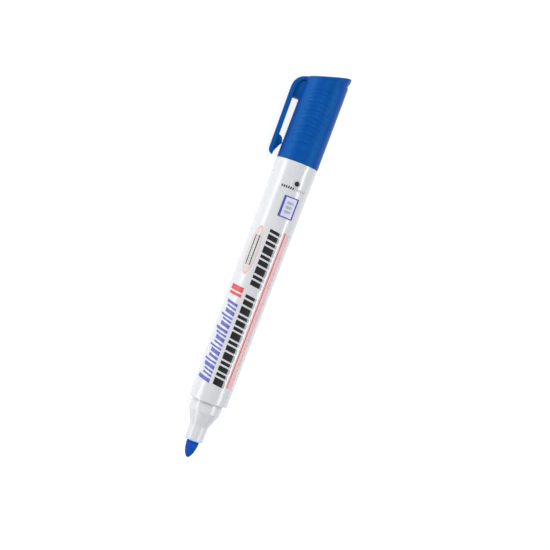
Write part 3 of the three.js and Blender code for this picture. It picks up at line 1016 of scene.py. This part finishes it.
def make_prints():
    """All the barrel's printed decoration, in plain shapes that carry no lettering."""
    black = printed_ink("ink_black", (14, 13, 18), (34, 33, 38))
    grey = printed_ink("ink_grey", (150, 153, 160), (172, 175, 182))
    violet = printed_ink("ink_violet", (70, 72, 150), (116, 118, 184))
    pale_violet = printed_ink("ink_pale_violet", (184, 188, 216), (198, 202, 224))
    red = printed_ink("ink_red", (186, 52, 62), (206, 100, 96))
    pink = printed_ink("ink_pink", (212, 146, 150), (222, 174, 176))
    dark_pink = printed_ink("ink_dark_pink", (164, 60, 76), (186, 92, 104))
    maroon = printed_ink("ink_maroon", (38, 12, 16), (70, 26, 30))
    silver = printed_ink("ink_silver", (178, 180, 178), (196, 198, 196))
    purple = printed_ink("ink_purple", (72, 62, 138), (92, 82, 156))

    thick = (2.75, 1.25, 2.0, 1.25, 2.75, 2.0, 1.25)
    bold = bar_row(7.0, 44.6, 24.0, -4.6, thick, 0.72, 0.55)
    bold += bar_row(46.7, 70.0, 24.0, -4.6, thick[2:] + thick[:2], 0.72, 0.55)
    make_print("print_bold_bars", bold, black)
    make_print("print_bold_shadow", shifted(bold, -0.15, 6.2), grey, PRINT_LIFT * 0.4)

    slim = (1.5, 0.75, 0.75, 1.5, 0.75, 1.1)
    tops = (1.0, 0.72, 0.72, 0.86, 1.0, 0.72, 0.72)
    slender = bar_row(7.2, 40.6, -15.4, -61.0, slim, 0.72, 1.0, tops)
    make_print("print_slim_bars", slender, violet)
    make_print("print_slim_fringe", shifted(slender, 0.2, -3.0), pale_violet, PRINT_LIFT * 0.4)
    accent = bar_row(41.3, 46.6, -15.4, -59.0, (1.1, 2.1), 0.6, 0.5)
    make_print("print_red_bars", accent, red)

    make_print("print_rule", [box_shape(7.5, 69.8, 35.4, 45.2)], pink)
    make_print("print_rule_line", [box_shape(7.5, 69.8, 38.9, 41.5)], dark_pink,
               PRINT_LIFT * 1.5)
    dashes, station, k = [], 7.6, 0
    while station < 69.2:
        length = (0.5, 0.9, 0.5, 1.4, 0.7)[k % 5]
        dashes.append(box_shape(station, min(station + length, 69.8), 49.5, 60.5))
        station += length + 0.42
        k += 1
    make_print("print_dashes", dashes, pink)

    centre, tilt, length, span = 59.9, -32.0, 9.8, 16.8
    make_print("print_oval_face", [disc_shape(centre, tilt, length * 0.93, span * 0.93)], silver)
    make_print("print_oval_edge", ring_shapes(centre, tilt, length, span, 0.09), pink,
               PRINT_LIFT * 1.6)
    for name, middle in (("left", tilt - 6), ("right", tilt + 6)):
        make_print(f"print_oval_stripe_{name}",
                   [box_shape(centre - 6, centre + 6, middle - 1.6, middle + 1.6)],
                   maroon, PRINT_LIFT * 1.5)
    ticks = [box_shape(s, s + 0.55, tilt - 2, tilt + 2) for s in np.arange(54.0, 66, 1.1)]
    make_print("print_oval_ticks", ticks, grey, PRINT_LIFT * 1.6)

    low, high = 75.0, 83.4
    frame_bars = [
        box_shape(low, high, -0.8, 5.8),
        box_shape(low, high, 38.5, 43.8),
        box_shape(low, low + 0.5, 6.0, 38.3),
        box_shape(high - 0.5, high, 6.0, 38.3),
    ]
    make_print("print_panel_frame", frame_bars, purple)
    make_print("print_panel_face", [box_shape(low + 0.3, high - 0.3, 5.0, 39.0)], pale_violet,
               PRINT_LIFT * 0.5)
    bands = [box_shape(s, s + 1.1, 12.0, 32.5) for s in (76.9, 78.65, 80.4)]
    make_print("print_panel_bands", bands, grey, PRINT_LIFT * 0.9)

    make_print("print_dot", [disc_shape(88.6, 20.0, 0.95, 7.0)], black)
    make_print("print_dot_ring", ring_shapes(88.6, 20.0, 1.35, 10.0, 0.16), grey)
    marks = [box_shape(86.0, 86.95, angle, angle + 3.6) for angle in np.arange(-18.5, 50, 6.2)]
    make_print("print_small_dashes", marks[:6], black)
    make_print("print_small_dashes_light", marks[6:], grey)


# ---------------------------------------------------------------- assembly

white = white_plastic("barrel_white_plastic", (0.2, 0.29))
nose_white = white_plastic("nose_white_plastic", (0.26, 0.34),
                           place(NOZZLE_END + 1.1, 0).x, place(NOZZLE_END, 0).x)
blue = blue_plastic()

put(make_barrel(white), "barrel", "white_plastic", "barrel")
put(make_nib_holder(nose_white), "barrel", "white_plastic", "nib_holder")
put(make_nib(wet_fibre()), "nib", "blue_fibre", "nib")
put(make_reservoir_core(core_fibre()), "barrel", "reservoir_fibre", "reservoir_core")
put(make_sleeve(clear_film()), "barrel", "film", "reservoir_sleeve")
put(make_tail_plug(white), "barrel", "white_plastic", "tail_plug")
put(make_cap_shell(blue), "cap", "blue_plastic", "cap_shell")
put(make_inner_seal(seal_plastic()), "cap", "seal_plastic", "cap_inner_seal")

clip = make_clip(blue)
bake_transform(clip)
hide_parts("cap_clip")

make_prints()

# ---------------------------------------------------------------- floor, light and camera

FLOOR_HALF = 3.0                       # metres
LIT_STATION = 55                       # the lamps are aimed at this station (mm)
CAMERA_ROLL = 20.59                    # degrees that the marker leans from upright in the view
CAMERA_AIM = (53.85, -6.99)            # station and offset (mm) in the middle of the view
CAMERA_DISTANCE = 0.456                # metres
CAMERA_LENS = 78.3


def make_floor():
    """Pale table under the marker."""
    half = FLOOR_HALF
    mesh = bpy.data.meshes.new("table")
    z = cad_box[0].z
    mesh.from_pydata([(-half, -half, z), (half, -half, z), (half, half, z), (-half, half, z)],
                     [], [(0, 1, 2, 3)])
    mesh.materials.append(pale_floor())
    floor = bpy.data.objects.new("table", mesh)
    bpy.context.scene.collection.objects.link(floor)


def make_softbox(name, turn, lean, distance, width, length, radiance):
    """White area light aimed at the marker's middle; its distance and sides are in metres.

    turn is the angle from +width towards the clip's side, across the marker; lean tips the
    light along the marker towards the tail. Both are in degrees.
    """
    t, l = math.radians(turn), math.radians(lean)
    toward = WIDTHWARD * math.cos(t) + CLIPWARD * math.sin(t)
    toward = toward * math.cos(l) + TAILWARD * math.sin(l)
    light = bpy.data.lights.new(name, "AREA")
    light.shape = "RECTANGLE"
    light.size = length
    light.size_y = width
    light.energy = radiance * math.pi * width * length
    lamp = bpy.data.objects.new(name, light)
    lamp.visible_camera = False
    bpy.context.scene.collection.objects.link(lamp)
    target = place(LIT_STATION, 0)
    across = toward.cross(TAILWARD).normalized()
    along = across.cross(toward)
    lamp.matrix_world = Matrix.Translation(target + toward * distance) @ Matrix(
        (along, across, toward)).transposed().to_4x4()


def make_camera():
    """Camera square to the marker's axis, looking at the clip edge-on."""
    roll = math.radians(CAMERA_ROLL)
    right = TAILWARD * math.sin(roll) - CLIPWARD * math.cos(roll)
    up = TAILWARD * math.cos(roll) + CLIPWARD * math.sin(roll)
    data = bpy.data.cameras.new("camera")
    data.sensor_width = 36
    data.lens = CAMERA_LENS
    data.clip_start = 0.01
    camera = bpy.data.objects.new("camera", data)
    bpy.context.scene.collection.objects.link(camera)
    spot = place(*CAMERA_AIM) + WIDTHWARD * CAMERA_DISTANCE
    camera.matrix_world = Matrix.Translation(spot) @ Matrix(
        (right, up, WIDTHWARD)).transposed().to_4x4()
    bpy.context.scene.camera = camera


def make_world():
    """Even white surroundings."""
    world = bpy.data.worlds.new("studio")
    world.use_nodes = True
    background = world.node_tree.nodes["Background"]
    background.inputs["Color"].default_value = (0.98, 0.99, 1.0, 1.0)
    background.inputs["Strength"].default_value = 0.31
    bpy.context.scene.world = world


make_floor()
make_world()
make_camera()
make_softbox("low_panel", 60.5, 0, 0.075, 0.031, 0.36, 3.9)
make_softbox("rim_strip", -63, 0, 0.5, 0.115, 0.6, 7.8)
make_softbox("overhead", -8, 32, 0.7, 0.2, 0.3, 10.6)
make_softbox("nose_fill", -50, -35, 0.5, 0.2, 0.25, 2.2)
bpy.context.scene.view_settings.view_transform = "Standard"
